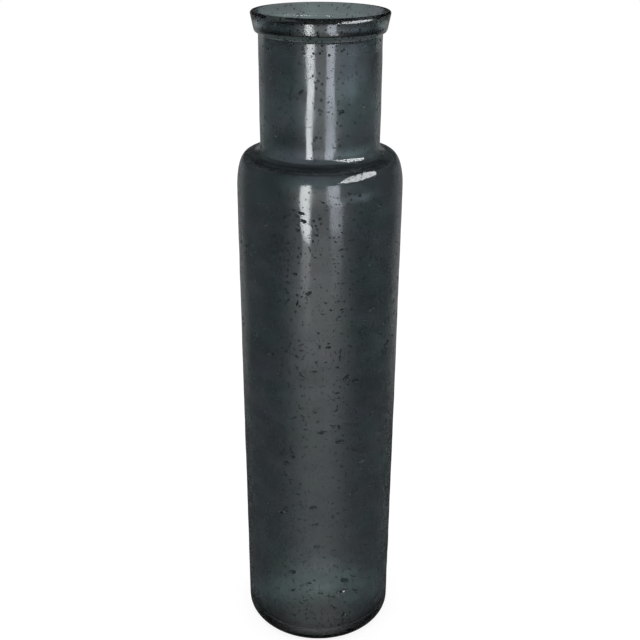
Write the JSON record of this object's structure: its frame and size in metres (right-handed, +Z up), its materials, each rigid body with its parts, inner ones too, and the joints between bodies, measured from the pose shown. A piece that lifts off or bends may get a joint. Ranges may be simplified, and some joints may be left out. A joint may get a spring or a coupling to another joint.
{
  "type": "bottle vase",
  "caption": "Tall round bottle vase of dark smoky seeded glass: straight body, rounded shoulder, wide straight neck and a flared lip laid on the neck's end.",
  "frame": {"origin": "centre of the foot ring, on the surface that the vase stands on", "axes": "+Z up the axis that the glass is turned about, towards the mouth; -Y towards the picture's viewer"},
  "size_m": [0.1817, 0.1818, 0.75],
  "materials": {
    "smoke_glass": "glossy smoke-grey recycled glass with seeds, the small bubbles and pits of recycled glass",
    "lip_glass": "fire-polished smoke-grey recycled glass with a few seeds"
  },
  "bodies": {
    "root": {"vessel": "smoke_glass", "lip_ring": "lip_glass"}
  },
  "joints": []
}
